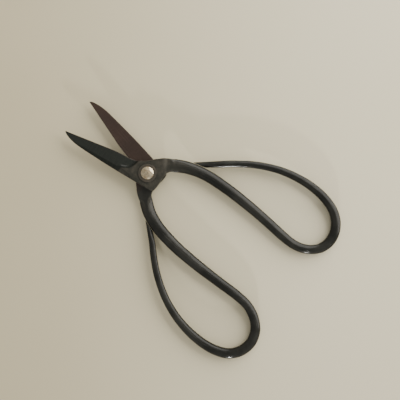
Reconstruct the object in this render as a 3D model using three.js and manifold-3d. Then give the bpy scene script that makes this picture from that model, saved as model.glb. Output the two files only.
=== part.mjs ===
// Floral snips with large wire-like loop handles: two forgings that cross at one peened rivet.
//
// Millimetres, +Z up. The origin is the middle of the flat foot of the lower rivet head, on the
// axis that the two halves turn about, and Z = 0 is the lowest plane of the object. +X runs along
// the centre line to the tips. The snips lie open, as they rest on a table.
//
// Each half is one forging: a flat ground blade, a boss with a heel, a shank that swells from the
// boss's own layer to the full height of the handle, and a rod that is drawn out thinner and
// thinner, bent round into a finger loop, and cut on a slant where its end lies against the shank.
// The front half is the upper one, with its blade on the +Y side. The back half has the same blade
// and boss turned over about X, and a handle of its own, because the rods are bent by hand.

import * as THREE from 'three';
import { mergeVertices } from 'three/addons/utils/BufferGeometryUtils.js';
import Module from 'manifold-3d';

// ---- Driving dimensions ----

const LAYER_THICKNESS = 3.3;        // boss of one half
const LAYER_GAP = 0.2;              // running clearance between the two mating faces
const FACE_GAP = 0.1;               // clearance under each washer and each rivet head

const RIVET_RADIUS = 2.5;
const RIVET_HOLE_RADIUS = 2.58;
const RIVET_HEAD_RADIUS = 4.0;
const RIVET_HEAD_RIM = 0.35;        // height of the head's straight rim
const RIVET_DOME_HEIGHT = 1.25;     // dome of the upper head, above its rim
const RIVET_FOOT_HEIGHT = 0.55;     // flattened dome of the lower head
const RIVET_FOOT_RADIUS = 2.6;      // flat that the lower head was hammered to
const WASHER_RADIUS = 5.8;
const WASHER_THICKNESS = 0.5;
const WASHER_CHAMFER = 0.15;

const EDGE_THICKNESS = 0.35;        // land left along the cutting edge
const BLADE_BEVEL_SLOPE = 0.339;    // rise of the main bevel away from the cutting edge
const SPINE_EDGE_HEIGHT = 2.3;      // height of the spine where the blade leaves the boss
const SPINE_TAPER = 0.02;           // how fast that height falls towards the tip
const SPINE_BEVEL_SLOPE = 0.33;     // rise of the bevel from the spine to the ridge

const HANDLE_HEIGHT = 6.8;          // tallest section of the shank
const LAYERED_RADIUS = 15.8;        // the shank keeps to its own layer inside this radius, where
const FULL_RADIUS = 32.0;           // the other heel sweeps, and has its full height beyond this one
const ROD_FLATNESS = 0.95;          // height of a rod section over its width
const SHANK_SQUARENESS = 3.6;       // superellipse exponent at the boss
const ROD_SQUARENESS = 2.1;         // and round the loop
const END_GAP = 0.35;               // between the rod's slanted end and the shank
const ROD_END_HEIGHT = 3.2;
const ROD_END_FAR_PLACE = 1.2;      // the slanted end lies along the shank between these two
const ROD_END_HOLE_PLACE = 1.86;    // places, counted in shank sections from the boss
const NECK_INSET = 0.15;            // of the handle's first section inside the boss's own layer

const BACK_HALF_TURN = 0.4;         // degrees that the back half lies nearer the centre line

const ROUND_SIDES = 40;             // facets of the rivet and the washers
const DOME_STEPS = 7;
const FOOT_STEPS = 4;
const CURVE_SEGMENTS = 5;           // of each curved stretch of an outline
const ROD_SIDES = 14;
const STEPS_PER_RIB = 3;
const FAR = 80;                     // past the whole blade, for the blocks that cut it

// ---- Levels of the stack on the pivot, upwards ----

const footRimTop = RIVET_FOOT_HEIGHT + RIVET_HEAD_RIM;
const backWasherBottom = footRimTop + FACE_GAP;
const backLayerBottom = backWasherBottom + WASHER_THICKNESS + FACE_GAP;
const matingPlane = backLayerBottom + LAYER_THICKNESS + LAYER_GAP / 2;
const frontLayerTop = matingPlane + LAYER_GAP / 2 + LAYER_THICKNESS;
const frontWasherBottom = frontLayerTop + FACE_GAP;
const headRimBottom = frontWasherBottom + WASHER_THICKNESS + FACE_GAP;

// ---- Outline of the blade and boss, seen from above, in the half's own frame ----

const tip = [58.3, 12.3];
const spine = [[55.8, 13.9], [51.0, 14.6], [45.0, 14.6], [32.2, 13.3], [19.3, 11.75], [6.4, 9.9]];
const heelStart = [-8.4, 7.5];
const heelCorner = [-9.9, 7.2];
const heelEnd = [-10.2, 5.4];
const crotchMiddle = [-10.4, 0.0];
const crotchBottom = [-9.4, -5.6];
const crotchFilletCorner = [-9.4, -8.4];
const neckInner = [-11.6, -10.6];
const neckOuter = [-8.6, -18.2];
const bossOuter = [[-3.7, -15.4], [0.9, -11.1], [5.2, -6.2], [10.2, -2.1]];
const edgeRoot = [[14.2, -0.4], [22.0, 1.0]];

// Where the main bevel runs out against the boss, from the cutting edge to the ridge
const shoulder = [[9.6, -6.0], [9.3, -2.7], [9.9, 2.3], [11.4, 5.2], [15.3, 7.9]];

// Where the bevel along the spine starts beside the boss, from the ridge to the spine
const spineBevelRoot = [[7.4, 8.1], [5.2, 8.9], [4.6, 10.2]];

// ---- The handle: middle of the section and its width, from the boss to the rod's end ----

const neck = { station: [-6.2, -11.8, 6.5], direction: [-0.75, -0.66] };

// The rods were drawn and bent by hand, so the two handles are not quite alike.
const frontHandle = {
  shank: [
    [-10.8, -15.0, 8.5],
    [-17.8, -19.0, 8.1],
    [-29.1, -22.6, 7.5],
    [-44.9, -24.4, 7.3],
    [-63.0, -24.8, 6.9],
    [-79.0, -24.4, 6.6],
  ],
  loop: [
    [-93.0, -23.6, 6.4],
    [-100.5, -23.7, 6.1],
    [-107.0, -25.2, 6.0],
    [-112.8, -28.6, 6.0],
    [-116.9, -33.5, 6.2],
    [-118.5, -40.0, 6.4],
    [-117.2, -46.7, 6.4],
    [-113.3, -52.5, 6.2],
    [-107.1, -56.9, 6.0],
    [-98.5, -59.4, 5.8],
    [-88.0, -60.0, 5.6],
    [-76.5, -58.6, 5.3],
    [-64.0, -54.9, 4.9],
    [-50.9, -48.3, 4.6],
    [-38.6, -39.3, 4.4],
    [-31.0, -32.7, 4.2],
  ],
};
const backHandle = {
  shank: [
    [-10.7, -15.1, 8.5],
    [-17.5, -19.6, 8.4],
    [-28.7, -23.4, 8.0],
    [-44.7, -25.7, 7.7],
    [-62.8, -26.2, 7.2],
    [-78.8, -25.9, 6.6],
  ],
  loop: [
    [-94.5, -25.4, 6.3],
    [-103.4, -26.2, 6.1],
    [-111.4, -29.7, 6.3],
    [-117.2, -35.3, 6.5],
    [-119.9, -43.0, 6.6],
    [-118.3, -51.3, 6.7],
    [-112.7, -58.1, 6.6],
    [-104.7, -61.6, 6.3],
    [-95.6, -63.1, 6.0],
    [-84.0, -62.8, 5.6],
    [-71.4, -60.3, 5.2],
    [-58.3, -55.1, 4.8],
    [-45.0, -46.7, 4.6],
    [-34.9, -37.9, 4.3],
    [-30.3, -33.3, 4.1],
  ],
};

// ---- Materials ----

const forgedSteel = new THREE.MeshStandardMaterial({ color: 0x33342f, roughness: 0.38, metalness: 0.85 });
const forgedSteelBrown = new THREE.MeshStandardMaterial({ color: 0x3d332d, roughness: 0.42, metalness: 0.8 });
const rivetSteel = new THREE.MeshStandardMaterial({ color: 0xb9ab98, roughness: 0.3, metalness: 1.0 });
const washerSteel = new THREE.MeshStandardMaterial({ color: 0x514334, roughness: 0.45, metalness: 0.9 });

// ---- Joining and cutting ----

const wasm = await Module();
wasm.setup();

function toSolid(geometry) {
  const plain = geometry.clone();
  plain.deleteAttribute('normal');
  plain.deleteAttribute('uv');
  const merged = mergeVertices(plain, 1e-5);
  return new wasm.Manifold(new wasm.Mesh({
    numProp: 3,
    vertProperties: new Float32Array(merged.attributes.position.array),
    triVerts: new Uint32Array(merged.index.array),
  }));
}

function toGeometry(solid) {
  const mesh = solid.getMesh();
  const geometry = new THREE.BufferGeometry();
  geometry.setAttribute('position', new THREE.BufferAttribute(new Float32Array(mesh.vertProperties), 3));
  geometry.setIndex(new THREE.BufferAttribute(new Uint32Array(mesh.triVerts), 1));
  geometry.computeVertexNormals();
  return geometry;
}

function extrude(shape, bottom, top) {
  const geometry = new THREE.ExtrudeGeometry(shape, {
    depth: top - bottom,
    bevelEnabled: false,
    curveSegments: CURVE_SEGMENTS,
  });
  return geometry.translate(0, 0, bottom);
}

// Revolved solid about Z from [radius, height] pairs.
function lathe(profile) {
  const points = profile.map(([radius, height]) => new THREE.Vector2(radius, height));
  return new THREE.LatheGeometry(points, ROUND_SIDES).rotateX(Math.PI / 2);
}

// ---- The handle as a loft over ribs ----
//
// A rib is a line across the handle, from the finger hole's side to the other side, with a lowest
// and a highest level. Its section is a superellipse, from almost square to round.

function ribAcross([x, y, width], direction, low, high, squareness) {
  const holeSide = new THREE.Vector2(-direction.y, direction.x).multiplyScalar(width / 2);
  return {
    hole: new THREE.Vector3(x + holeSide.x, y + holeSide.y, low),
    far: new THREE.Vector3(x - holeSide.x, y - holeSide.y, high),
    squareness,
  };
}

function shankLevels([x, y, width]) {
  const full = Math.min(HANDLE_HEIGHT, width * ROD_FLATNESS) / 2;
  const swell = THREE.MathUtils.smoothstep(Math.hypot(x, y), LAYERED_RADIUS, FULL_RADIUS);
  const low = THREE.MathUtils.lerp(LAYER_GAP / 2, -full, swell);
  const high = THREE.MathUtils.lerp(LAYER_GAP / 2 + LAYER_THICKNESS, full, swell);
  return [low, high];
}

// A point beside the shank, on its finger-hole side, at a place counted in shank sections.
function besideShank(shankRibs, place, level) {
  const edge = (key) => new THREE.CatmullRomCurve3(shankRibs.map((rib) => rib[key]))
    .getPoint(place / (shankRibs.length - 1));
  const hole = edge('hole');
  const outwards = hole.clone().sub(edge('far')).setZ(0).normalize();
  return hole.addScaledVector(outwards, END_GAP).setZ(level);
}

// The handle's first section, which is buried in the boss.
function neckRib() {
  const low = LAYER_GAP / 2 + NECK_INSET;
  const high = LAYER_GAP / 2 + LAYER_THICKNESS - NECK_INSET;
  return ribAcross(neck.station, new THREE.Vector3(...neck.direction, 0), low, high, SHANK_SQUARENESS);
}

function handleRibs({ shank, loop }) {
  const stations = [...shank, ...loop];
  const middle = new THREE.CatmullRomCurve3(stations.map(([x, y]) => new THREE.Vector3(x, y, 0)));
  const ribs = stations.map((station, index) => {
    const direction = middle.getTangent(index / (stations.length - 1));
    const [low, high] = shankLevels(station);
    const onShank = THREE.MathUtils.clamp(1 - index / shank.length, 0, 1);
    const squareness = THREE.MathUtils.lerp(ROD_SQUARENESS, SHANK_SQUARENESS, onShank);
    return ribAcross(station, direction, low, high, squareness);
  });
  const shankRibs = ribs.slice(0, shank.length);
  const rodEnd = {
    hole: besideShank(shankRibs, ROD_END_HOLE_PLACE, -ROD_END_HEIGHT / 2),
    far: besideShank(shankRibs, ROD_END_FAR_PLACE, ROD_END_HEIGHT / 2),
    squareness: ROD_SQUARENESS,
  };
  return [neckRib(), ...ribs, rodEnd];
}

// More ribs between the given ones, on smooth curves along both sides.
function smoothRibs(ribs, steps) {
  const holeSide = new THREE.CatmullRomCurve3(ribs.map((rib) => rib.hole));
  const farSide = new THREE.CatmullRomCurve3(ribs.map((rib) => rib.far));
  const count = (ribs.length - 1) * steps;
  return Array.from({ length: count + 1 }, (_, index) => {
    const place = index / steps;
    const before = Math.min(Math.floor(place), ribs.length - 2);
    return {
      hole: holeSide.getPoint(index / count),
      far: farSide.getPoint(index / count),
      squareness: THREE.MathUtils.lerp(
        ribs[before].squareness, ribs[before + 1].squareness, place - before),
    };
  });
}

function superellipse(angle, squareness) {
  const bend = (value) => Math.sign(value) * Math.abs(value) ** (2 / squareness);
  return [bend(Math.cos(angle)), bend(Math.sin(angle))];
}

function loft(ribs, sides) {
  const positions = [];
  for (const { hole, far, squareness } of ribs) {
    for (let side = 0; side < sides; side += 1) {
      const [across, up] = superellipse((side + 0.5) * 2 * Math.PI / sides, squareness);
      positions.push(
        THREE.MathUtils.lerp(hole.x, far.x, (across + 1) / 2),
        THREE.MathUtils.lerp(hole.y, far.y, (across + 1) / 2),
        THREE.MathUtils.lerp(hole.z, far.z, (up + 1) / 2),
      );
    }
  }
  const indices = [];
  for (let rib = 0; rib < ribs.length - 1; rib += 1) {
    for (let side = 0; side < sides; side += 1) {
      const here = rib * sides + side;
      const next = rib * sides + (side + 1) % sides;
      indices.push(here, here + sides, next, next, here + sides, next + sides);
    }
  }
  const last = (ribs.length - 1) * sides;
  for (let side = 1; side < sides - 1; side += 1) {
    indices.push(0, side, side + 1);
    indices.push(last, last + side + 1, last + side);
  }
  const geometry = new THREE.BufferGeometry();
  geometry.setAttribute('position', new THREE.Float32BufferAttribute(positions, 3));
  geometry.setIndex(indices);
  return geometry;
}

// ---- The blade and boss ----

const vectors = (points) => points.map(([x, y]) => new THREE.Vector2(x, y));

function plateShape() {
  const shape = new THREE.Shape();
  shape.moveTo(...tip);
  shape.splineThru(vectors(spine));
  shape.lineTo(...heelStart);
  shape.quadraticCurveTo(...heelCorner, ...heelEnd);
  shape.quadraticCurveTo(...crotchMiddle, ...crotchBottom);
  shape.quadraticCurveTo(...crotchFilletCorner, ...neckInner);
  shape.lineTo(...neckOuter);
  shape.splineThru(vectors(bossOuter));
  shape.splineThru(vectors(edgeRoot));
  shape.lineTo(...tip);
  return shape;
}

// Everything above the plane through `point` that runs level along `along` and rises by `slope`
// to the left of it; `fall` tilts it down along its length.
function blockAbove(point, along, height, slope, fall = 0) {
  const forward = new THREE.Vector3(along[0], along[1], 0).normalize();
  const left = new THREE.Vector3(-forward.y, forward.x, 0);
  const geometry = new THREE.BoxGeometry(2 * FAR, 2 * FAR, 1);
  const positions = geometry.attributes.position;
  for (let index = 0; index < positions.count; index += 1) {
    const [ahead, aside] = [positions.getX(index), positions.getY(index)];
    const lift = positions.getZ(index) > 0 ? FAR : 0;
    const corner = new THREE.Vector3(point[0], point[1], height + slope * aside - fall * ahead + lift)
      .addScaledVector(forward, ahead)
      .addScaledVector(left, aside);
    positions.setXYZ(index, ...corner);
  }
  return toSolid(geometry);
}

// Everything beyond a run-out curve, towards the tip, as a solid taller than the blade.
function beyond(curveStart, drawCurve) {
  const region = new THREE.Shape();
  region.moveTo(...curveStart);
  drawCurve(region);
  region.lineTo(region.currentPoint.x, FAR);
  region.lineTo(FAR, FAR);
  region.lineTo(FAR, curveStart[1]);
  return toSolid(extrude(region, -FAR, FAR));
}

// The ground bevel of the blade: everything above its plane, up to the curved run-out.
function mainBevelCutter() {
  const root = edgeRoot.at(-1);
  const along = [tip[0] - root[0], tip[1] - root[1]];
  const base = LAYER_GAP / 2 + EDGE_THICKNESS;
  const [start, ...rest] = shoulder;
  const runOut = beyond(start, (region) => region.splineThru(vectors(rest)));
  return blockAbove(root, along, base, BLADE_BEVEL_SLOPE).intersect(runOut);
}

// The bevel along the spine, which starts beside the boss.
function spineBevelCutter() {
  const start = spine[4];
  const end = spine[2];
  const along = [end[0] - start[0], end[1] - start[1]];
  const base = LAYER_GAP / 2 + SPINE_EDGE_HEIGHT;
  const [ridge, corner, edge] = spineBevelRoot;
  const runOut = beyond(ridge, (region) => region.quadraticCurveTo(...corner, ...edge));
  return blockAbove(start, along, base, -SPINE_BEVEL_SLOPE, SPINE_TAPER).intersect(runOut);
}

function halfSolid(handlePath) {
  const bottom = LAYER_GAP / 2;
  const plate = toSolid(extrude(plateShape(), bottom, bottom + LAYER_THICKNESS));
  const handle = toSolid(loft(smoothRibs(handleRibs(handlePath), STEPS_PER_RIB), ROD_SIDES));
  const hole = toSolid(lathe([[0, -FAR], [RIVET_HOLE_RADIUS, -FAR], [RIVET_HOLE_RADIUS, FAR], [0, FAR]]));
  return plate
    .subtract(mainBevelCutter())
    .subtract(spineBevelCutter())
    .add(handle)
    .subtract(hole);
}

// ---- Rivet and washers ----

// Arc of a flattened dome, from the rim inwards and short of `innerRadius`.
function domeArc(rimRadius, rimHeight, rise, innerRadius, steps) {
  return Array.from({ length: steps }, (_, index) => {
    const angle = (index / steps) * Math.acos(innerRadius / rimRadius);
    return [rimRadius * Math.cos(angle), rimHeight + rise * Math.sin(angle)];
  });
}

function rivetGeometry() {
  const headTop = headRimBottom + RIVET_HEAD_RIM;
  const footDome = domeArc(
    RIVET_HEAD_RADIUS, RIVET_FOOT_HEIGHT, -RIVET_FOOT_HEIGHT, RIVET_FOOT_RADIUS, FOOT_STEPS);
  return lathe([
    [0, 0],
    [RIVET_FOOT_RADIUS, 0],
    ...footDome.reverse().slice(1),
    [RIVET_HEAD_RADIUS, footRimTop],
    [RIVET_RADIUS, footRimTop],
    [RIVET_RADIUS, headRimBottom],
    [RIVET_HEAD_RADIUS, headRimBottom],
    ...domeArc(RIVET_HEAD_RADIUS, headTop, RIVET_DOME_HEIGHT, 0, DOME_STEPS),
    [0, headTop + RIVET_DOME_HEIGHT],
  ]);
}

// The chamfer is on the side away from the halves.
function washerGeometry(bottom, chamferOnTop) {
  const top = bottom + WASHER_THICKNESS;
  const chamferedRadius = WASHER_RADIUS - WASHER_CHAMFER;
  const rim = chamferOnTop
    ? [[WASHER_RADIUS, bottom], [WASHER_RADIUS, top - WASHER_CHAMFER], [chamferedRadius, top]]
    : [[chamferedRadius, bottom], [WASHER_RADIUS, bottom + WASHER_CHAMFER], [WASHER_RADIUS, top]];
  return lathe([
    [RIVET_HOLE_RADIUS, bottom],
    ...rim,
    [RIVET_HOLE_RADIUS, top],
    [RIVET_HOLE_RADIUS, bottom],
  ]);
}

// ---- Assembly ----

function named(name, geometry, material) {
  const mesh = new THREE.Mesh(geometry, material);
  mesh.name = name;
  return mesh;
}

const frontHalf = named('front_half', toGeometry(halfSolid(frontHandle)), forgedSteel);
frontHalf.position.z = matingPlane;

const backHalf = named('back_half', toGeometry(halfSolid(backHandle)), forgedSteelBrown);
backHalf.rotation.set(Math.PI, 0, -THREE.MathUtils.degToRad(BACK_HALF_TURN));
backHalf.position.z = matingPlane;

const snips = new THREE.Group();
snips.add(
  frontHalf,
  backHalf,
  named('pivot_rivet', rivetGeometry(), rivetSteel),
  named('front_washer', washerGeometry(frontWasherBottom, true), washerSteel),
  named('back_washer', washerGeometry(backWasherBottom, false), washerSteel),
);

export default snips;
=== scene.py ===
"""Floral snips: the looks of the two forgings, the rivet and its washers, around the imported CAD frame.

Shapes are worked out in millimetres in a half's own frame: origin on the pivot at the plane where
the two halves meet, +X along the centre line to the tip, +Z away from the other half. They are then
put in place in metres, as the CAD has them.
"""

import math
import random

import bpy
import numpy as np
from mathutils import Matrix, Vector, noise


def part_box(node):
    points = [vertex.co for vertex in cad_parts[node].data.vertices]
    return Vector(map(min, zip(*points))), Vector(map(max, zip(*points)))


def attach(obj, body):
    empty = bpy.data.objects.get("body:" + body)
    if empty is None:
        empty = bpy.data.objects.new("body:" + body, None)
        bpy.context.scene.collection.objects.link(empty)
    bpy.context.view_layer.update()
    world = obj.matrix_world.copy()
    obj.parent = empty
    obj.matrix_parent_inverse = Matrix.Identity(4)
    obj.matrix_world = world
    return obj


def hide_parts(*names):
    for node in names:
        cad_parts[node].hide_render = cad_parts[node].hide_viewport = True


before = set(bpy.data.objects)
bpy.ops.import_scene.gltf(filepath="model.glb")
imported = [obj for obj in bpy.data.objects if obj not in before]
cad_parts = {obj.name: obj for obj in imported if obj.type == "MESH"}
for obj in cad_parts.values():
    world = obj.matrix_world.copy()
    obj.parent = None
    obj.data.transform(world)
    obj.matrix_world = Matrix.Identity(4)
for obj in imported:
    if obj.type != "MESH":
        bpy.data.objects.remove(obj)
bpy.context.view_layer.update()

# ---- Driving dimensions, in millimetres ----

MM = 0.001
FACE_GAP = 0.1            # clearance under each washer
HALF_GAP = 0.1            # from the mating plane to the face of a half
HOLE_RADIUS = 2.58
RIVET_RADIUS = 2.5

EDGE_THICKNESS = 0.35     # land along the cutting edge
BEVEL_SLOPE = 0.339       # rise of the main bevel away from the cutting edge
SPINE_HEIGHT = 2.3        # spine where the blade leaves the boss
SPINE_TAPER = 0.02
SPINE_SLOPE = 0.33        # rise of the bevel from the spine to the ridge
SPINE_RISE = 1.4          # lift of the spine bevel over the boss, so that it doesn't cut into it
SPINE_RISE_END = (3.8, 7.6)       # places along +X between which the lift ends
RUN_OUT_RADIUS = 2.2      # of the hollow that the wheel left at the end of the main bevel
RUN_OUT_WALL = 8.0        # rise of the face behind that hollow
RIDGE_ROUNDING = 0.12
SPINE_STEP = 0.5          # depth of the step where the spine bevel was started
SPINE_STEP_LINE = 7.95
SPINE_STEP_RUN = 0.45     # width of the step
SPINE_STEP_START = (7.2, 9.2)     # places along +X between which the step begins
SPINE_STEP_END = (12.5, 19.0)     # and between which it ends
HOLLOW_DEPTH = 0.06       # of the hollow-ground inner face
EDGE_LAND = 0.9           # flat left along the edge of the inner face
SPINE_LAND = 2.2          # and along its spine
EDGE_LAND_RUN, SPINE_LAND_RUN = 0.8, 0.5  # from each land down to the hollow's depth
HOLLOW_START = (15.0, 20.0)       # places along +X between which the hollow begins
HOLLOW_END = (47.0, 53.0)         # and between which it ends
BLADE_START = (6.5, 10.0)         # and between which the mesh begins to follow the blade's ridge

HANDLE_HEIGHT = 6.8
ROD_FLATNESS = 0.95
LAYERED_RADIUS = 15.8     # the shank keeps to its own layer inside this radius
FULL_RADIUS = 32.0        # and has its full height beyond this one
NECK_DIRECTION = (-0.775, -0.632)         # from the pivot
NECK_STEP = 0.5           # the shank lies this much lower than the boss
NECK_STEP_START, NECK_STEP_END = 10.6, 13.0   # distances from the pivot towards the neck
END_GAP = 0.35            # between the rod's slanted end and the shank
ROD_END_HEIGHT = 3.2
ROD_END_FAR_PLACE = 1.2   # the slanted end lies along the shank between these two places,
ROD_END_HOLE_PLACE = 1.86         # which are counted in shank sections from the boss
ROD_END_ROUNDING = (      # sizes of the rings that close it, and how far ahead each one lies
    (0.97, 0.09), (0.92, 0.15), (0.84, 0.19), (0.6, 0.2), (0.3, 0.2),
)
BACK_HALF_TURN = 0.4      # degrees

PLATE_POWER = 60.0        # squareness of a section: almost sharp on the plate
SHANK_POWER = 34.0
ROD_POWER = 30.0          # and with softer facets on the rod,
ROD_SIDE_POWER = 5.0      # whose sides are rounder still
PLATE_FACET = 0.2         # chamfer of the plate's edges, in millimetres
PLATE_FACET_UP = 0.16     # as a share of half the thickness
ROD_FACET = 0.9           # facets of the rod, as a share of half its width
ROD_SLOPE = 0.4           # slope of the two upper facets of the rod, which meet in a soft ridge
NECK_FACET_UP = 0.72      # their fall as a share of half the height, where the neck is flat
PLATE_UNEVENNESS, ROD_UNEVENNESS = 0.003, 0.013   # of the hammered outline, as a share of its width
UNEVENNESS_SIZES = (9.0, 3.5)     # length of its waves
SEED_SHIFT = 17.3         # moves the noise from one half to the other
ROD_START = (-1.4, 1.6)   # the plate's section turns into the rod's between these ribs past the boss
PLATE_POWER_FADE, SHANK_POWER_FADE = 0.5, 1.9     # ribs over which each power fades

INNER_START = (-5.0, 1.0)         # places along +X between which the brown of the inner faces begins
BEVEL_START = (-0.3, 0.4)         # distances past the shoulder between which the bevel's colour does
BOSS_COLOUR_END = (12.0, 34.0)    # distances towards the neck between which the boss's colour ends
NECK_HIGHLIGHT_PLACE, NECK_HIGHLIGHT_SPREAD = 11.3, 1.5       # of the painted highlight at the neck, as distances towards the neck
NECK_HIGHLIGHT_END = (0.3, 0.75)          # and where it ends, as a share of the neck's width
FLANK_START = (0.72, 0.97)        # where the rod gets steep, as a share of half its width

PLATE_SPACING = 0.4       # between sections of the mesh
ROD_SPACING = 0.95
BOTTOM_COUNT, FACET_COUNT, SIDE_COUNT = 36, 4, 6
SPINE_COUNT, FACE_COUNT = 12, 34
TURNED_SIDES, BORE_SIDES = 128, 96

HAMMER_RINGS = ((0.0, 1), (0.36, 6), (0.66, 9), (0.9, 13))    # share of the radius, and marks on it
RIVET_RIM = 0.4           # height of the upright rim below the dome
WASHER_ROUNDING = 0.12

# ---- Outlines, as in the CAD ----

TIP = (58.3, 12.3)
EDGE_ROOT = (22.0, 1.0)
SPINE_LINE = ((19.3, 11.75), (45.0, 14.6))
SHOULDER = ((9.6, -6.0), (9.3, -2.7), (9.9, 2.3), (11.4, 5.2), (15.3, 7.9))

# Lines across the blade and boss, from the cutting edge's side to the spine's side
PLATE_RIBS = (
    ((58.2, 12.25), (58.1, 12.55)),
    ((57.4, 12.0), (56.9, 13.35)),
    ((54.2, 11.0), (53.2, 14.3)),
    ((50.0, 9.7), (48.8, 14.7)),
    ((44.9, 8.1), (43.5, 14.5)),
    ((38.5, 6.1), (36.7, 13.8)),
    ((32.1, 4.1), (29.9, 13.05)),
    ((25.7, 2.15), (23.2, 12.25)),
    ((19.3, 0.6), (16.4, 11.35)),
    ((14.7, -0.3), (12.0, 10.7)),
    ((10.5, -2.0), (8.0, 10.1)),
    ((7.65, -4.1), (4.6, 9.6)),
    ((5.4, -6.0), (1.5, 9.1)),
    ((3.65, -7.9), (-3.0, 8.4)),
    ((1.8, -10.2), (-8.4, 7.5)),
    ((0.7, -11.3), (-9.6, 7.05)),
    ((-0.1, -12.1), (-10.15, 5.7)),
    ((-1.1, -13.2), (-10.2, 1.9)),
    ((-2.65, -14.55), (-9.55, -3.7)),
    ((-4.15, -15.65), (-9.5, -6.6)),
    ((-5.5, -16.5), (-10.05, -8.6)),
    ((-7.0, -17.4), (-11.0, -10.0)),
)

# Middle of the section and its width, from the boss to the rod's end; the first six are the shank
FRONT_HANDLE = (
    (-10.8, -15.0, 8.5), (-17.8, -19.0, 8.1), (-29.1, -22.6, 7.5),
    (-44.9, -24.4, 7.3), (-63.0, -24.8, 6.9), (-79.0, -24.4, 6.6),
    (-93.0, -23.6, 6.4), (-100.5, -23.7, 6.1), (-107.0, -25.2, 6.0), (-112.8, -28.6, 6.0),
    (-116.9, -33.5, 6.2), (-118.5, -40.0, 6.4), (-117.2, -46.7, 6.4), (-113.3, -52.5, 6.2),
    (-107.1, -56.9, 6.0), (-98.5, -59.4, 5.8), (-88.0, -60.0, 5.6), (-76.5, -58.6, 5.3),
    (-64.0, -54.9, 4.9), (-50.9, -48.3, 4.6), (-38.6, -39.3, 4.4), (-31.0, -32.7, 4.2),
)
BACK_HANDLE = (
    (-10.7, -15.1, 8.5), (-17.5, -19.6, 8.4), (-28.7, -23.4, 8.0),
    (-44.7, -25.7, 7.7), (-62.8, -26.2, 7.2), (-78.8, -25.9, 6.6),
    (-94.5, -25.4, 6.3), (-103.4, -26.2, 6.1), (-111.4, -29.7, 6.3), (-117.2, -35.3, 6.5),
    (-119.9, -43.0, 6.6), (-118.3, -51.3, 6.7), (-112.7, -58.1, 6.6), (-104.7, -61.6, 6.3),
    (-95.6, -63.1, 6.0), (-84.0, -62.8, 5.6), (-71.4, -60.3, 5.2), (-58.3, -55.1, 4.8),
    (-45.0, -46.7, 4.6), (-34.9, -37.9, 4.3), (-30.3, -33.3, 4.1),
)
SHANK_COUNT = 6

# ---- Levels read from the frame ----

rivet_low, rivet_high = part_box("pivot_rivet")
front_washer_low, front_washer_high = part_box("front_washer")
back_washer_low, back_washer_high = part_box("back_washer")
MATING_PLANE = (front_washer_low.z + back_washer_high.z) / 2
LAYER_TOP = (front_washer_low.z - back_washer_high.z) / 2 / MM - FACE_GAP

# ---- Curves and small helpers ----


def smoothstep(value, start, end):
    """From 0 at the start to 1 at the end, without a corner."""
    share = np.clip((value - start) / (end - start), 0, 1)
    return share * share * (3 - 2 * share)


def lower_of(a, b, radius):
    """The lower of two heights, with the edge between them rounded."""
    share = np.clip(0.5 + 0.5 * (b - a) / radius, 0, 1)
    return b + (a - b) * share - radius * share * (1 - share)


def smooth_curve(points, places):
    """Centripetal Catmull-Rom curve through the points, at places counted in points."""
    points = np.asarray(points, float)
    padded = np.vstack([2 * points[0] - points[1], points, 2 * points[-1] - points[-2]])
    before = np.clip(np.floor(places).astype(int), 0, len(points) - 2)
    share = (places - before)[:, None]
    p0, p1, p2, p3 = (padded[before + k] for k in range(4))
    k1, k2, k3 = (
        np.linalg.norm(b - a, axis=1)[:, None] ** 0.5 for a, b in ((p0, p1), (p1, p2), (p2, p3))
    )
    leaving = ((p1 - p0) / k1 - (p2 - p0) / (k1 + k2) + (p2 - p1) / k2) * k2
    arriving = ((p2 - p1) / k2 - (p3 - p1) / (k2 + k3) + (p3 - p2) / k3) * k2
    squared, cubed = share**2, share**3
    return (
        (2 * cubed - 3 * squared + 1) * p1
        + (cubed - 2 * squared + share) * leaving
        + (3 * squared - 2 * cubed) * p2
        + (cubed - squared) * arriving
    )


def distance_to(curve, x, y):
    """Shortest distance of each point to a finely sampled curve."""
    return np.sqrt(((x[..., None] - curve[:, 0]) ** 2 + (y[..., None] - curve[:, 1]) ** 2).min(axis=-1))


# ---- The ground faces of a half, as heights over its own plan ----


def main_bevel(x, y):
    """Height of the long bevel that makes the cutting edge."""
    run = np.subtract(TIP, EDGE_ROOT)
    run = run / np.linalg.norm(run)
    inward = (y - EDGE_ROOT[1]) * run[0] - (x - EDGE_ROOT[0]) * run[1]
    return HALF_GAP + EDGE_THICKNESS + BEVEL_SLOPE * inward


def spine_bevel(x, y):
    """Height of the narrow bevel along the back of the blade."""
    start, end = np.asarray(SPINE_LINE)
    run = (end - start) / np.linalg.norm(end - start)
    ahead = (x - start[0]) * run[0] + (y - start[1]) * run[1]
    outward = (y - start[1]) * run[0] - (x - start[0]) * run[1]
    rise = SPINE_RISE * (1 - smoothstep(x, *SPINE_RISE_END))
    return HALF_GAP + SPINE_HEIGHT - SPINE_SLOPE * outward - SPINE_TAPER * ahead + rise


def past_shoulder(x, y):
    """Distance beyond the run-out of the main bevel, towards the tip."""
    shoulder = smooth_curve(SHOULDER, np.linspace(0, len(SHOULDER) - 1, 60))
    edge = np.interp(y, shoulder[:, 1], shoulder[:, 0])
    return np.sign(x - edge) * distance_to(shoulder, x, y)


def neck_distance(x, y):
    """Distance from the pivot towards the neck."""
    return x * NECK_DIRECTION[0] + y * NECK_DIRECTION[1]


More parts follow.
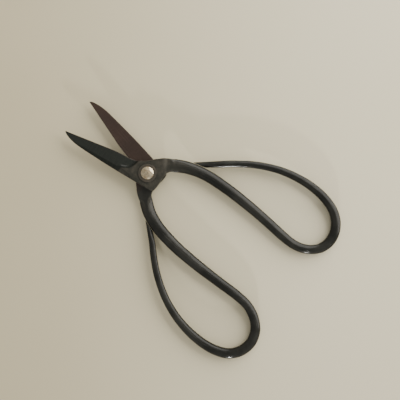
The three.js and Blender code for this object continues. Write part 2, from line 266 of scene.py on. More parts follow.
def outer_face(x, y):
    """Height of the face that looks away from the other half."""
    past = past_shoulder(x, y)
    inside = np.clip(RUN_OUT_RADIUS - past, 0, RUN_OUT_RADIUS)
    hollow = RUN_OUT_RADIUS - np.sqrt(RUN_OUT_RADIUS**2 - inside**2)
    wall = RUN_OUT_WALL * np.clip(-past, 0, None)
    bevel = main_bevel(x, y) + hollow + wall
    boss = LAYER_TOP - NECK_STEP * smoothstep(neck_distance(x, y), NECK_STEP_START, NECK_STEP_END)
    face = lower_of(boss, bevel, RIDGE_ROUNDING)
    face = lower_of(face, spine_bevel(x, y), RIDGE_ROUNDING)
    step = smoothstep(y, SPINE_STEP_LINE, SPINE_STEP_LINE + SPINE_STEP_RUN)
    step = step * smoothstep(x, *SPINE_STEP_START) * (1 - smoothstep(x, *SPINE_STEP_END))
    return face - SPINE_STEP * step


def inner_face(x, from_edge, from_spine):
    """Height of the face that meets the other half: flat lands round a shallow hollow."""
    hollow = smoothstep(from_edge, EDGE_LAND, EDGE_LAND + EDGE_LAND_RUN)
    hollow = hollow * smoothstep(from_spine, SPINE_LAND, SPINE_LAND + SPINE_LAND_RUN)
    hollow = hollow * smoothstep(x, *HOLLOW_START) * (1 - smoothstep(x, *HOLLOW_END))
    return HALF_GAP + HOLLOW_DEPTH * hollow


# ---- Ribs along a half ----


def shank_levels(x, y, width):
    """Low and high level of a handle section, which swells out of the half's own layer."""
    full = min(HANDLE_HEIGHT, width * ROD_FLATNESS) / 2
    swell = float(smoothstep(math.hypot(x, y), LAYERED_RADIUS, FULL_RADIUS))
    return HALF_GAP * (1 - swell) - full * swell, LAYER_TOP * (1 - swell) + full * swell


def handle_ribs(handle):
    """Both ends of each handle rib: the low level on the hole's side, the high one on the far side."""
    stations = np.asarray(handle)
    count = len(stations)
    step = 0.001
    places = np.clip(np.arange(count)[:, None] + [-step, step], 0, count - 1)
    behind = smooth_curve(stations[:, :2], places[:, 0])
    ahead = smooth_curve(stations[:, :2], places[:, 1])
    run = (ahead - behind) / np.linalg.norm(ahead - behind, axis=1)[:, None]
    aside = np.stack([-run[:, 1], run[:, 0]], axis=1) * stations[:, 2:] / 2
    levels = np.array([shank_levels(*station) for station in handle])
    hole = np.column_stack([stations[:, :2] + aside, levels[:, 0]])
    far = np.column_stack([stations[:, :2] - aside, levels[:, 1]])
    return hole, far


def beside_shank(hole, far, place, level):
    """A point just off the shank, on the finger hole's side."""
    at = np.array([place])
    hole_point = smooth_curve(hole[:SHANK_COUNT], at)[0, :2]
    far_point = smooth_curve(far[:SHANK_COUNT], at)[0, :2]
    outward = (hole_point - far_point) / np.linalg.norm(hole_point - far_point)
    return [*(hole_point + outward * END_GAP), level]


def all_ribs(handle):
    """Both ends of every rib, from the tip over the boss and round the loop to the rod's end."""
    hole, far = handle_ribs(handle)
    end_hole = beside_shank(hole, far, ROD_END_HOLE_PLACE, -ROD_END_HEIGHT / 2)
    end_far = beside_shank(hole, far, ROD_END_FAR_PLACE, ROD_END_HEIGHT / 2)
    plate_hole = [(*edge, HALF_GAP) for edge, _ in PLATE_RIBS]
    plate_far = [(*spine, LAYER_TOP) for _, spine in PLATE_RIBS]
    return np.vstack([plate_hole, hole, end_hole]), np.vstack([plate_far, far, end_far])


def fine_places(hole, far):
    """Places along the ribs, counted in ribs, close together on the plate and wider along the rod."""
    lengths = np.maximum(
        np.linalg.norm(np.diff(hole, axis=0), axis=1), np.linalg.norm(np.diff(far, axis=0), axis=1)
    )
    places = []
    for index, length in enumerate(lengths):
        spacing = PLATE_SPACING if index <= len(PLATE_RIBS) else ROD_SPACING
        count = math.ceil(length / spacing)
        places.extend(index + k / count for k in range(count))
    return np.array([*places, len(lengths)])


# ---- Sections ----


def ridge_places(hole, far, default):
    """Where the ridge of the spine bevel crosses each section, from -1 to 1 across it."""
    across = np.linspace(-1, 1, 161)
    x = hole[:, :1] + (far - hole)[:, :1] * (across + 1) / 2
    y = hole[:, 1:2] + (far - hole)[:, 1:2] * (across + 1) / 2
    over = spine_bevel(x, y) - np.minimum(LAYER_TOP, main_bevel(x, y))
    inside = np.where(over > 0, across, -1).max(axis=1)
    on_blade = smoothstep(far[:, 0], *BLADE_START)
    return default + (np.clip(inside, -0.5, 0.93) - default) * on_blade


def unit_sections(facet, facet_up, ridge):
    """Each section as a square with its corners cut off, as an array of ribs, ring points and 2."""
    a, b, c, one = facet - 1, 1 - facet, 1 - facet_up, np.ones_like(ridge)
    corners = (
        (a, -one), (b, -one), (one, -c), (one, c), (b, one),
        (ridge, one), (a, one), (-one, c), (-one, -c), (a, -one),
    )
    counts = (
        BOTTOM_COUNT, FACET_COUNT, SIDE_COUNT, FACET_COUNT, SPINE_COUNT,
        FACE_COUNT, FACET_COUNT, SIDE_COUNT, FACET_COUNT,
    )
    stretches = []
    for start, end, count in zip(corners, corners[1:], counts):
        share = np.arange(count) / count
        both = [s[:, None] + (e - s)[:, None] * share for s, e in zip(start, end)]
        stretches.append(np.stack(both, axis=2))
    return np.concatenate(stretches, axis=1)


def rounded(sections, facet, facet_up, power, side_power):
    """The same sections with their corners rounded off, more so the lower the power."""
    facet, facet_up, power, side_power = (each[:, None] for each in (facet, facet_up, power, side_power))
    whole = facet_up * (1 - facet) + facet

    def reach(u, v):
        cut = (facet_up * u + facet * v) / whole
        top = (v**power + cut**power) ** (1 / power)
        return (u**side_power + top**side_power) ** (1 / side_power)

    shrink = reach(np.abs(sections[..., 0]), np.abs(sections[..., 1]))
    fit = np.stack([reach(1, 0) / shrink, reach(0, 1) / shrink], axis=2)
    return sections * fit


def ring_mask(*wanted):
    """Which ring points belong to the named stretches of the ring."""
    stretches = (
        ("inner", BOTTOM_COUNT), ("facet", FACET_COUNT), ("side", SIDE_COUNT), ("facet", FACET_COUNT),
        ("outer", SPINE_COUNT + FACE_COUNT), ("facet", FACET_COUNT), ("side", SIDE_COUNT),
        ("facet", FACET_COUNT),
    )
    return np.concatenate([np.full(count, name in wanted, float) for name, count in stretches])


def unevenness(x, y, z, size, seed):
    """Smooth noise from about -1 to 1, with waves of the given size."""
    points = np.stack([x, y, z], axis=-1).reshape(-1, 3) / size + seed * SEED_SHIFT
    return np.array([noise.noise(point) for point in points.tolist()]).reshape(x.shape)


def half_sections(hole, far, width, past_boss, to_rod):
    """The unit sections along a half: almost sharp on the plate, rounder and faceted on the rod."""
    on_handle = np.clip(past_boss, 0, None)
    on_rod = np.clip(on_handle - 1, 0, None)
    power = ROD_POWER + (SHANK_POWER - ROD_POWER) * np.exp(-on_rod / SHANK_POWER_FADE)
    power = power + (PLATE_POWER - power) * np.exp(-on_handle / PLATE_POWER_FADE)
    side_power = PLATE_POWER + (ROD_SIDE_POWER - PLATE_POWER) * to_rod**0.25
    plate_facet = np.clip(PLATE_FACET / (width / 2), 0, 0.4)
    facet = plate_facet * (1 - to_rod) + ROD_FACET * to_rod
    fall = np.minimum(ROD_SLOPE * ROD_FACET * width / (far - hole)[:, 2], NECK_FACET_UP)
    facet_up = PLATE_FACET_UP * (1 - to_rod) + fall * to_rod
    ridge = ridge_places(hole, far, 1 - 2 * SPINE_COUNT / (SPINE_COUNT + FACE_COUNT))
    sections = unit_sections(facet, facet_up, ridge)
    return rounded(sections, facet, facet_up, power, side_power)


def material_facts(x, y, across, on_rod):
    """What the material needs to know at every ring point, as shares from 0 to 1."""
    towards_neck = neck_distance(x, y)
    outer = ring_mask("outer", "facet")
    # where the neck's painted highlight lies
    neck_highlight = np.exp(-(((towards_neck - NECK_HIGHLIGHT_PLACE) / NECK_HIGHLIGHT_SPREAD) ** 2))
    return {
        "inner": ring_mask("inner", "facet") * smoothstep(x, *INNER_START),
        "bevel": ring_mask("outer", "facet", "side") * smoothstep(past_shoulder(x, y), *BEVEL_START),
        "edge": ring_mask("facet") * (1 - on_rod),
        "boss": outer * (1 - smoothstep(towards_neck, *BOSS_COLOUR_END)),
        "flank": smoothstep(np.abs(2 * across - 1), *FLANK_START) * on_rod,
        "neck": outer * neck_highlight * (1 - smoothstep(across, *NECK_HIGHLIGHT_END)),
    }


def grain_places(hole, far, width, across, z):
    """Distance along the half, across it and up, which the forging's patterns follow."""
    middle_line = (hole + far) / 2
    along = np.cumsum(np.linalg.norm(np.diff(middle_line, axis=0, prepend=middle_line[:1]), axis=1))
    return np.stack([along[:, None] * np.ones_like(z), (across - 0.5) * width[:, None], z], axis=-1)


def half_surface(handle, seed):
    """Positions of every ring point of a half, the facts for its material there, and its grain."""
    hole_ribs, far_ribs = all_ribs(handle)
    places = fine_places(hole_ribs, far_ribs)
    hole, far = smooth_curve(hole_ribs, places), smooth_curve(far_ribs, places)
    width = np.linalg.norm((far - hole)[:, :2], axis=1)
    past_boss = places - len(PLATE_RIBS) + 1
    to_rod = smoothstep(past_boss, *ROD_START)
    sections = half_sections(hole, far, width, past_boss, to_rod)

    across = (sections[..., 0] + 1) / 2
    x = hole[:, :1] + (far - hole)[:, :1] * across
    y = hole[:, 1:2] + (far - hole)[:, 1:2] * across
    middle_z = (hole[:, 2:] + far[:, 2:]) / 2 * np.ones_like(x)
    beaten = PLATE_UNEVENNESS + (ROD_UNEVENNESS - PLATE_UNEVENNESS) * to_rod[:, None]
    waves = sum(unevenness(x, y, middle_z, size, seed) for size in UNEVENNESS_SIZES)
    swell = 1 + beaten * waves

    high = np.minimum(far[:, 2:], outer_face(x, y))
    flat = inner_face(x, across * width[:, None], (1 - across) * width[:, None])
    low = np.minimum(hole[:, 2:], flat) + (flat - HALF_GAP) * (past_boss[:, None] <= 0)
    z = (low + high) / 2 + (high - low) / 2 * sections[..., 1] * np.minimum(swell, 1)

    centre = (hole + far)[:, None, :2] / 2
    x = centre[..., 0] + (x - centre[..., 0]) * swell
    y = centre[..., 1] + (y - centre[..., 1]) * swell
    facts = material_facts(x, y, across, to_rod[:, None])
    grain = grain_places(hole, far, width, across, z)
    return np.stack([x, y, z], axis=-1), facts, grain


# ---- Meshes ----


def closed_loft(name, rings, end_rings):
    """A mesh over rings of points, with both ends closed; the last end gets its own smaller rings."""
    rings = np.concatenate([rings, end_rings])
    rib_count, ring_count = rings.shape[:2]
    vertices = rings.reshape(-1, 3)
    here = np.arange(rib_count - 1)[:, None] * ring_count + np.arange(ring_count)
    beside = np.arange(rib_count - 1)[:, None] * ring_count + (np.arange(ring_count) + 1) % ring_count
    faces = np.stack([here, here + ring_count, beside + ring_count, beside], axis=-1).reshape(-1, 4)
    last = (rib_count - 1) * ring_count
    caps = [list(range(ring_count)), list(range(last + ring_count - 1, last - 1, -1))]
    mesh = bpy.data.meshes.new(name)
    mesh.from_pydata(vertices.tolist(), [], faces.tolist() + caps)
    mesh.validate()
    mesh.shade_smooth()
    return mesh


def rod_end_rings(last_ring, before_ring):
    """Smaller rings that round the edge of the rod's slanted end."""
    middle = last_ring.mean(axis=0)
    run = middle - before_ring.mean(axis=0)
    run = run / np.linalg.norm(run)
    return np.array(
        [middle + (last_ring - middle) * size + run * ahead for size, ahead in ROD_END_ROUNDING]
    )


def add_facts(mesh, facts, grain, extra):
    """Stores the facts on the vertices, repeating the last ring's for the rings that close the end."""
    for name, values in facts.items():
        values = np.concatenate([values, np.repeat(values[-1:], extra, axis=0)])
        layer = mesh.attributes.new(name, "FLOAT", "POINT")
        layer.data.foreach_set("value", values.astype(np.float32).ravel())
    grain = np.concatenate([grain, np.repeat(grain[-1:], extra, axis=0)])
    layer = mesh.attributes.new("grain", "FLOAT_VECTOR", "POINT")
    layer.data.foreach_set("vector", grain.astype(np.float32).ravel())


def place(piece, body, slot, node):
    """Attaches the piece to the body it moves with and hides the CAD piece it stands for; what it is made
    of, the slot, is not used.
    """
    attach(piece, body)
    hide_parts(node)
    return piece


def new_object(name, mesh):
    piece = bpy.data.objects.new(name, mesh)
    bpy.context.scene.collection.objects.link(piece)
    return piece


def turned_mesh(name, profile, sides):
    """A solid of revolution about Z from radius and height pairs that start and end on the axis."""
    angles = np.arange(sides) * 2 * math.pi / sides
    inner = np.asarray(profile[1:-1])
    radii = inner[:, :1]
    heights = inner[:, 1:] * np.ones(sides)
    rings = np.stack([radii * np.cos(angles), radii * np.sin(angles), heights], axis=-1)
    vertices = [(0, 0, profile[0][1]), *rings.reshape(-1, 3).tolist(), (0, 0, profile[-1][1])]
    faces = []
    for side in range(sides):
        beside = (side + 1) % sides
        faces.append((0, 1 + beside, 1 + side))
        for ring in range(len(inner) - 1):
            here, above = 1 + ring * sides, 1 + (ring + 1) * sides
            faces.append((here + side, here + beside, above + beside, above + side))
        top = 1 + (len(inner) - 1) * sides
        faces.append((top + side, top + beside, len(vertices) - 1))
    mesh = bpy.data.meshes.new(name)
    mesh.from_pydata(vertices, [], faces)
    mesh.shade_smooth()
    return mesh


def cut_hole(piece, radius):
    """Cuts the bore for the rivet."""
    reach = 9                 # well past both faces
    profile = [(0, -reach), (radius, -reach), (radius, reach), (0, reach)]
    bore = new_object("bore", turned_mesh("bore", profile, BORE_SIDES))
    modifier = piece.modifiers.new("bore", "BOOLEAN")
    modifier.operation = "DIFFERENCE"
    modifier.solver = "EXACT"
    modifier.object = bore
    graph = bpy.context.evaluated_depsgraph_get()
    cut = bpy.data.meshes.new_from_object(piece.evaluated_get(graph), depsgraph=graph)
    piece.modifiers.clear()
    piece.data = cut
    bpy.data.objects.remove(bore)


def forged_half(name, handle, seed, turn):
    """One forging with its bore, turned and lifted to its own side of the mating plane."""
    rings, facts, grain = half_surface(handle, seed)
    end_rings = rod_end_rings(rings[-1], rings[-2])
    mesh = closed_loft(name, rings, end_rings)
    add_facts(mesh, facts, grain, len(end_rings))
    piece = new_object(name, mesh)
    cut_hole(piece, HOLE_RADIUS)
    piece.data.transform(Matrix.Translation((0, 0, MATING_PLANE)) @ turn @ Matrix.Scale(MM, 4))
    return piece


# ---- Rivet and washers ----


def arc(centre, radius_across, radius_up, start, end, count):
    """Radius and height pairs along part of an ellipse, with angles in degrees from outward."""
    angles = np.radians(np.linspace(start, end, count))
    return [(centre[0] + radius_across * math.cos(t), centre[1] + radius_up * math.sin(t)) for t in angles]


def hammered(x, y, z, top, radius, depth):
    """Height of a domed head after it was beaten flat in many small places."""
    marks = random.Random(7)
    crown = z
    for ring_radius, count in HAMMER_RINGS:
        for index in range(count):
            angle = 2 * math.pi * (index + 0.35 * marks.random()) / count
            lean = -depth * 2.1 * ring_radius / radius * (0.7 + 0.6 * marks.random())
            mark_x = ring_radius * radius * math.cos(angle)
            mark_y = ring_radius * radius * math.sin(angle)
            level = top - depth * (ring_radius**2 * 1.05 + 0.03 + 0.06 * marks.random())
            away = (x - mark_x) * math.cos(angle) + (y - mark_y) * math.sin(angle)
            crown = lower_of(crown, level + lean * away, 0.06)
    return crown


def rivet():
    """The pin with its flattened foot and its hammered dome."""
    low, high = rivet_low.z / MM, rivet_high.z / MM
    radius = rivet_high.x / MM
    foot_top = back_washer_low.z / MM - FACE_GAP
    head_bottom = front_washer_high.z / MM + FACE_GAP
    dome = high - head_bottom - RIVET_RIM
    profile = [
        (0, low), (1.0, low), (2.0, low), *arc((2.6, low + 0.5), 1.3, 0.5, -90, 0, 10),
        *arc((radius - 0.2, foot_top - 0.2), 0.2, 0.2, 0, 90, 5),
        (RIVET_RADIUS + 0.1, foot_top), (RIVET_RADIUS, foot_top + 0.1),
        (RIVET_RADIUS, head_bottom - 0.1), (RIVET_RADIUS + 0.1, head_bottom),
        *arc((radius - 0.18, head_bottom + 0.18), 0.18, 0.18, -90, 0, 5),
        *arc((0, head_bottom + RIVET_RIM), radius, dome, 0, 88, 44), (0, high),
    ]
    mesh = turned_mesh("pivot_rivet_hammered", profile, TURNED_SIDES)
    for vertex in mesh.vertices:
        x, y, z = vertex.co
        if z > head_bottom + 0.3:
            vertex.co.z = float(hammered(x, y, z, high, radius, dome))
        vertex.co.xy *= 1 + 0.006 * noise.noise((x / 2, y / 2, z / 2)) * (z > head_bottom)
    mesh.transform(Matrix.Scale(MM, 4))
    piece = new_object(mesh.name, mesh)
    return place(piece, "back", "rivet_steel", "pivot_rivet")


def washer(name, node, low, high):
    """A flat ring with rounded edges, beaten very slightly out of round by the peening."""
    bottom, top = low.z / MM, high.z / MM
    radius = high.x / MM
    edge = WASHER_ROUNDING
    inside, outside = HOLE_RADIUS + edge, radius - edge
    steps = 8                 # across each flat
    flat = (radius - HOLE_RADIUS - 2 * edge) / steps
    profile = [
        *arc((inside, bottom + edge), edge, edge, 180, 270, 5),
        *((inside + flat * k, bottom) for k in range(1, steps)),
        *arc((outside, bottom + edge), edge, edge, -90, 0, 5),
        *arc((outside, top - edge), edge, edge, 0, 90, 5),
        *((outside - flat * k, top) for k in range(1, steps)),
        *arc((inside, top - edge), edge, edge, 90, 180, 5),
    ]
    sides, count = TURNED_SIDES, len(profile)
    vertices = []
    for side in range(sides):
        angle = 2 * math.pi * side / sides
        for r, z in profile:
            wave = 1 + 0.004 * math.sin(2 * angle + 1) * (r > RIVET_RADIUS + 1)
            vertices.append((r * wave * math.cos(angle), r * wave * math.sin(angle), z))
    faces = [
        (side * count + k, (side + 1) % sides * count + k,
         (side + 1) % sides * count + (k + 1) % count, side * count + (k + 1) % count)
        for side in range(sides) for k in range(count)
    ]
    mesh = bpy.data.meshes.new(name)
    mesh.from_pydata(vertices, [], faces)
    mesh.shade_smooth()
    mesh.transform(Matrix.Scale(MM, 4))
    return place(new_object(name, mesh), "back", "washer_steel", node)


# ---- Materials ----

# Colours as linear red, green and blue
SCALE_DARK = (0.014, 0.0145, 0.012)       # fire scale on the shanks and rods
SCALE_LIGHT = (0.033, 0.033, 0.028)
SCALE_BROWN = (0.034, 0.029, 0.022)
SCALE_RUBBED = (0.042, 0.044, 0.040)
OLIVE_DARK = (0.039, 0.038, 0.031)        # the bosses
OLIVE_LIGHT = (0.065, 0.059, 0.046)
OLIVE_CLOUD = (0.026, 0.027, 0.021)
BEVEL_DARK = (0.008, 0.010, 0.008)        # the ground bevels
BEVEL_LIGHT = (0.018, 0.021, 0.016)
BROWN_DARK = (0.042, 0.026, 0.020)        # the faces that meet
BROWN_LIGHT = (0.072, 0.048, 0.037)
BROWN_CLOUD = (0.040, 0.029, 0.024)
FLANK_PAINTED_SHADE = (0.008, 0.008, 0.006)       # painted shade on the rods' steep sides
NECK_PAINTED_HIGHLIGHT = (0.088, 0.081, 0.066)      # painted highlight: the light patch at the neck
WORN_EDGE = (0.11, 0.105, 0.09)
RIVET_BRIGHT = (0.80, 0.69, 0.48)
RIVET_DULL = (0.46, 0.355, 0.22)
RIVET_GRIME = (0.17, 0.125, 0.085)
WASHER_DARK = (0.048, 0.043, 0.032)
WASHER_LIGHT = (0.070, 0.058, 0.042)
WASHER_RUST = (0.13, 0.075, 0.040)
PAPER_SHADED = (0.70, 0.62, 0.41)
PAPER_LIT = (0.91, 0.84, 0.62)
PAPER_CLOUD = (0.84, 0.76, 0.53)

WINDOW_SIDE = (-0.775, -0.632, 0.0)       # from the pivot towards the brighter side of the table
PAPER_SHADED_PLACE, PAPER_LIT_PLACE = -0.12, 0.13     # metres towards that side


class Surface:
    """Short calls for building one node material around its Principled shader."""

    def __init__(self, name, **constants):
        self.material = bpy.data.materials.new(name)
        self.material.use_nodes = True
        self.tree = self.material.node_tree
        self.shader = self.tree.nodes["Principled BSDF"]
        for socket, value in constants.items():
            self.shader.inputs[socket.replace("_", " ")].default_value = value

    def node(self, kind, inputs, **settings):
        made = self.tree.nodes.new(kind)
        for key, value in settings.items():
            setattr(made, key, value)
        for socket, value in inputs.items():
            self.feed(made.inputs[socket], value)
        return made

    def feed(self, socket, value):
        if isinstance(value, bpy.types.NodeSocket):
            self.tree.links.new(value, socket)
        else:
            socket.default_value = value

    def place(self):
        return self.node("ShaderNodeTexCoord", {}).outputs["Object"]

    def fact(self, name, output="Fac"):
        return self.node("ShaderNodeAttribute", {}, attribute_name=name).outputs[output]

    def stretched(self, vector, scale):
        return self.node("ShaderNodeMapping", {"Vector": vector, "Scale": scale}).outputs["Vector"]

    def noise(self, vector, scale, detail=3.0, roughness=0.5):
        inputs = {"Vector": vector, "Scale": scale, "Detail": detail, "Roughness": roughness}
        return self.node("ShaderNodeTexNoise", inputs).outputs["Fac"]

    def spread(self, value, start, end, low=0.0, high=1.0):
        inputs = {"Value": value, "From Min": start, "From Max": end, "To Min": low, "To Max": high}
        return self.node("ShaderNodeMapRange", inputs, interpolation_type="SMOOTHSTEP").outputs["Result"]

    def math(self, operation, a, b):
        return self.node("ShaderNodeMath", {0: a, 1: b}, operation=operation).outputs[0]

    def mix(self, share, a, b):
        """One colour fading into another as the share goes from 0 to 1."""
        a, b = ((*each, 1.0) if isinstance(each, tuple) else each for each in (a, b))
        return self.node("ShaderNodeMix", {0: share, 6: a, 7: b}, data_type="RGBA").outputs[2]

    def bump(self, height, distance, strength=1.0, below=None):
        inputs = {"Height": height, "Distance": distance, "Strength": strength}
        if below is not None:
            inputs["Normal"] = below
        return self.node("ShaderNodeBump", inputs).outputs["Normal"]

    def finish(self, colour, roughness, normal):
        self.feed(self.shader.inputs["Base Color"], colour)
        self.feed(self.shader.inputs["Roughness"], roughness)
        self.feed(self.shader.inputs["Normal"], normal)
        return self.material


def forged_patterns(surface):
    """The five patterns of the forgings: two follow the grain, three are the same in any direction."""
    place_m, grain = surface.place(), surface.fact("grain", "Vector")
    return {
        "clouds": surface.noise(place_m, 70.0, 4.0),
        "mottle": surface.noise(place_m, 420.0, 5.0, 0.62),
        "speckle": surface.noise(place_m, 2600.0, 2.0),
        "drawn": surface.noise(surface.stretched(grain, (0.05, 2.2, 2.2)), 1.0, 3.0),
        "ground": surface.noise(surface.stretched(grain, (5.5, 0.12, 0.12)), 1.0, 4.0, 0.6),
    }


def scale_colour(surface, clouds, mottle, drawn):
    colour = surface.mix(surface.spread(clouds, 0.35, 0.68), SCALE_DARK, SCALE_LIGHT)
    colour = surface.mix(surface.spread(mottle, 0.5, 0.78, 0.0, 0.5), colour, SCALE_BROWN)
    return surface.mix(surface.spread(drawn, 0.55, 0.8, 0.0, 0.35), colour, SCALE_RUBBED)


def olive_colour(surface, clouds, mottle):
    colour = surface.mix(surface.spread(mottle, 0.35, 0.7), OLIVE_DARK, OLIVE_LIGHT)
    return surface.mix(surface.spread(clouds, 0.42, 0.66, 0.0, 0.7), colour, OLIVE_CLOUD)


def brown_colour(surface, clouds, ground):
    colour = surface.mix(surface.spread(ground, 0.25, 0.8), BROWN_DARK, BROWN_LIGHT)
    return surface.mix(surface.spread(clouds, 0.4, 0.7, 0.0, 0.5), colour, BROWN_CLOUD)


def forged_colour(surface, patterns):
    """Fire scale, then the boss, the painted shade on the rods' steep sides, the bevels and the inner
    faces, then the painted highlight at the neck and the worn edges.
    """
    clouds, mottle, ground = patterns["clouds"], patterns["mottle"], patterns["ground"]
    colour = scale_colour(surface, clouds, mottle, patterns["drawn"])
    colour = surface.mix(surface.fact("boss"), colour, olive_colour(surface, clouds, mottle))
    # painted shade: the rods' steep sides are darkened towards black
    colour = surface.mix(surface.math("MULTIPLY", surface.fact("flank"), 0.7), colour, FLANK_PAINTED_SHADE)
    bevelled = surface.mix(surface.spread(ground, 0.3, 0.75), BEVEL_DARK, BEVEL_LIGHT)
    colour = surface.mix(surface.fact("bevel"), colour, bevelled)
    colour = surface.mix(surface.fact("inner"), colour, brown_colour(surface, clouds, ground))
    # painted highlight: a lighter patch on the neck, towards the finger hole's side
    neck_highlight = surface.math("MULTIPLY", surface.fact("neck"), surface.spread(mottle, 0.3, 0.6, 0.45, 0.9))
    colour = surface.mix(neck_highlight, colour, NECK_PAINTED_HIGHLIGHT)
    worn = surface.math("MULTIPLY", surface.fact("edge"), surface.spread(mottle, 0.35, 0.65, 0.05, 0.45))
    return surface.mix(worn, colour, WORN_EDGE)


def forged_relief(surface, patterns, is_ground):
    """Hammered waves, draw lines, scale, and scratches on what was ground."""
    normal = surface.bump(patterns["clouds"], 0.00006, 0.4)
    normal = surface.bump(patterns["drawn"], 0.0002, 0.85, normal)
    normal = surface.bump(patterns["mottle"], 0.000012, 0.5, normal)
    normal = surface.bump(patterns["speckle"], 0.000003, 0.5, normal)
    scratches = surface.math("MULTIPLY", patterns["ground"], is_ground)
    return surface.bump(scratches, 0.00001, 0.8, normal)


def forged_steel():
    """Fire-blackened and oiled steel; satin where it was ground, brown on the faces that meet."""
    surface = Surface(
        "blackened_forged_steel", Metallic=0.1, IOR=1.5, Specular_IOR_Level=0.13, Coat_Roughness=0.06
    )
    patterns = forged_patterns(surface)
    is_ground = surface.math("MAXIMUM", surface.fact("inner"), surface.fact("bevel"))
    gloss = surface.spread(patterns["mottle"], 0.3, 0.75, 0.12, 0.24)
    satin = surface.spread(patterns["ground"], 0.3, 0.75, 0.40, 0.52)
    roughness = surface.node("ShaderNodeMix", {0: is_ground, 2: gloss, 3: satin}).outputs[0]
    oil = surface.spread(surface.fact("flank"), 0.0, 1.0, 0.26, 0.02)
    surface.feed(surface.shader.inputs["Coat Weight"], oil)
    colour = forged_colour(surface, patterns)
    return surface.finish(colour, roughness, forged_relief(surface, patterns, is_ground))


def hammered_steel():
    """Bright steel with a warm tint, duller in its hollows."""
    surface = Surface("hammered_rivet_steel", Metallic=1.0)
    place_m = surface.place()
    patches = surface.noise(place_m, 520.0, 4.0)
    grime = surface.noise(place_m, 1500.0, 4.0, 0.65)
    colour = surface.mix(surface.spread(patches, 0.35, 0.7), RIVET_BRIGHT, RIVET_DULL)
    colour = surface.mix(surface.spread(grime, 0.5, 0.72, 0.0, 0.8), colour, RIVET_GRIME)
    roughness = surface.spread(patches, 0.3, 0.7, 0.24, 0.42)
    normal = surface.bump(patches, 0.00006, 0.7)
    normal = surface.bump(grime, 0.00002, 0.6, normal)
    return surface.finish(colour, roughness, normal)


def tinted_steel():
    """The same dark steel as the halves, with rusty bronze tints."""
    surface = Surface("tinted_washer_steel", Metallic=0.1, IOR=1.5)
    place_m = surface.place()
    patches = surface.noise(place_m, 240.0, 4.0)
    rust = surface.noise(place_m, 700.0, 5.0, 0.65)
    colour = surface.mix(surface.spread(patches, 0.35, 0.68), WASHER_DARK, WASHER_LIGHT)
    colour = surface.mix(surface.spread(rust, 0.52, 0.75, 0.0, 0.5), colour, WASHER_RUST)
    roughness = surface.spread(rust, 0.3, 0.75, 0.38, 0.62)
    return surface.finish(colour, roughness, surface.bump(rust, 0.00002, 0.6))


def pale_paper():
    """Warm pale paper, a little darker on the side away from the window."""
    surface = Surface("pale_floor", Specular_IOR_Level=0.2)
    place_m = surface.place()
    dot = surface.node("ShaderNodeVectorMath", {0: place_m, 1: WINDOW_SIDE}, operation="DOT_PRODUCT")
    lit = surface.spread(dot.outputs["Value"], PAPER_SHADED_PLACE, PAPER_LIT_PLACE)
    wide = surface.noise(place_m, 6.0, 2.0)
    fine = surface.noise(place_m, 900.0, 3.0)
    colour = surface.mix(lit, PAPER_SHADED, PAPER_LIT)
    colour = surface.mix(surface.spread(wide, 0.3, 0.7, 0.0, 0.25), colour, PAPER_CLOUD)
    normal = surface.bump(fine, 0.00004, 0.35)
    return surface.finish(colour, surface.spread(fine, 0.3, 0.7, 0.55, 0.7), normal)


# ---- Stage ----

CAMERA_PLACE = (-0.0369, -0.0079, 0.380)
CAMERA_TURN = 219.2       # degrees about the vertical
CAMERA_LENS = 52.4

LIGHT_AIM = (-0.035, 0, 0)
WINDOW_PLACE = (-0.18, -0.66, 0.365)
WINDOW_SIZE = (1.8, 0.66)
WINDOW_POWER = 12.4
WINDOW_COLOUR = (1.0, 0.965, 0.905)
LAMP_PLACE = (-0.985, 1.006, 0.30)        # low and far, for the thin glints along the rods
LAMP_SIZE = (0.06, 0.06)
LAMP_POWER = 10.0
LAMP_COLOUR = (1.0, 0.98, 0.95)
ROOM_COLOUR = (0.80, 0.78, 0.74, 1)
ROOM_STRENGTH = 0.6

FLOOR_REACH = 2.5
FOOT_EDGE = -0.0026       # where the rivet's flat foot ends, on the loops' side
LOOPS_BEYOND = -0.05      # everything that touches the floor beyond here is a loop


def camera():
    """Looks straight down, from where the photo was taken."""
    data = bpy.data.cameras.new("camera")
    data.sensor_width = 36.0
    data.lens = CAMERA_LENS
    made = bpy.data.objects.new("camera", data)
    made.location = CAMERA_PLACE
    made.rotation_euler = (0, 0, math.radians(CAMERA_TURN))
    bpy.context.scene.collection.objects.link(made)
    bpy.context.scene.camera = made


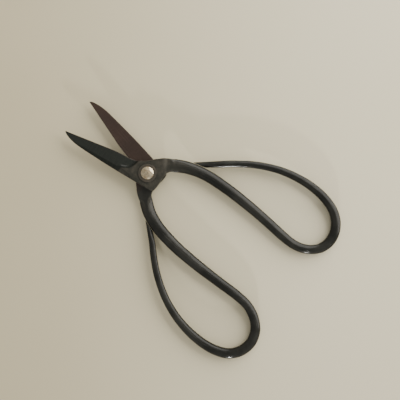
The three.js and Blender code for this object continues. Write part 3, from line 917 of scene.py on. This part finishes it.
def floor(pieces):
    """The snips rest on the rivet's foot and on both loops, so the floor leans by about a degree."""
    points = np.array([tuple(v.co) for piece in pieces for v in piece.data.vertices])
    loops = points[points[:, 0] < LOOPS_BEYOND]
    lean = np.arctan2(loops[:, 2] - rivet_low.z, FOOT_EDGE - loops[:, 0]).min()
    mesh = bpy.data.meshes.new("floor")
    corners = [(x * FLOOR_REACH, y * FLOOR_REACH, 0) for x, y in ((-1, -1), (1, -1), (1, 1), (-1, 1))]
    mesh.from_pydata(corners, [], [(0, 1, 2, 3)])
    made = new_object("floor", mesh)
    made.rotation_euler = (0, float(lean), 0)
    made.location = (FOOT_EDGE, 0, rivet_low.z)
    mesh.materials.append(pale_paper())


def area_light(name, place_m, aim, size, power, colour):
    data = bpy.data.lights.new(name, "AREA")
    data.shape = "ELLIPSE"
    data.size, data.size_y = size
    data.energy = power
    data.color = colour
    made = bpy.data.objects.new(name, data)
    made.location = place_m
    made.rotation_euler = (Vector(aim) - Vector(place_m)).to_track_quat("-Z", "Y").to_euler()
    bpy.context.scene.collection.objects.link(made)


def lights():
    """A long window on one side, a small low lamp on the other, and the soft light of the room."""
    area_light("window", WINDOW_PLACE, LIGHT_AIM, WINDOW_SIZE, WINDOW_POWER, WINDOW_COLOUR)
    area_light("low_lamp", LAMP_PLACE, LIGHT_AIM, LAMP_SIZE, LAMP_POWER, LAMP_COLOUR)
    world = bpy.data.worlds.new("soft_room")
    world.use_nodes = True
    background = world.node_tree.nodes["Background"]
    background.inputs["Color"].default_value = ROOM_COLOUR
    background.inputs["Strength"].default_value = ROOM_STRENGTH
    bpy.context.scene.world = world


# ---- Build ----

camera()
upright = Matrix.Identity(4)
turned_over = Matrix.Rotation(math.pi, 4, "X") @ Matrix.Rotation(-math.radians(BACK_HALF_TURN), 4, "Z")
steel = forged_steel()

front = forged_half("front_half_forging", FRONT_HANDLE, 1, upright)
place(front, "front", "blackened_steel", "front_half")
back = forged_half("back_half_forging", BACK_HANDLE, 2, turned_over)
place(back, "back", "blackened_steel", "back_half")
for half in (front, back):
    half.data.materials.clear()
    half.data.materials.append(steel)

head = rivet()
head.data.materials.append(hammered_steel())
tint = tinted_steel()
for made in (
    washer("front_washer_ring", "front_washer", front_washer_low, front_washer_high),
    washer("back_washer_ring", "back_washer", back_washer_low, back_washer_high),
):
    made.data.materials.append(tint)

floor([front, back])
lights()
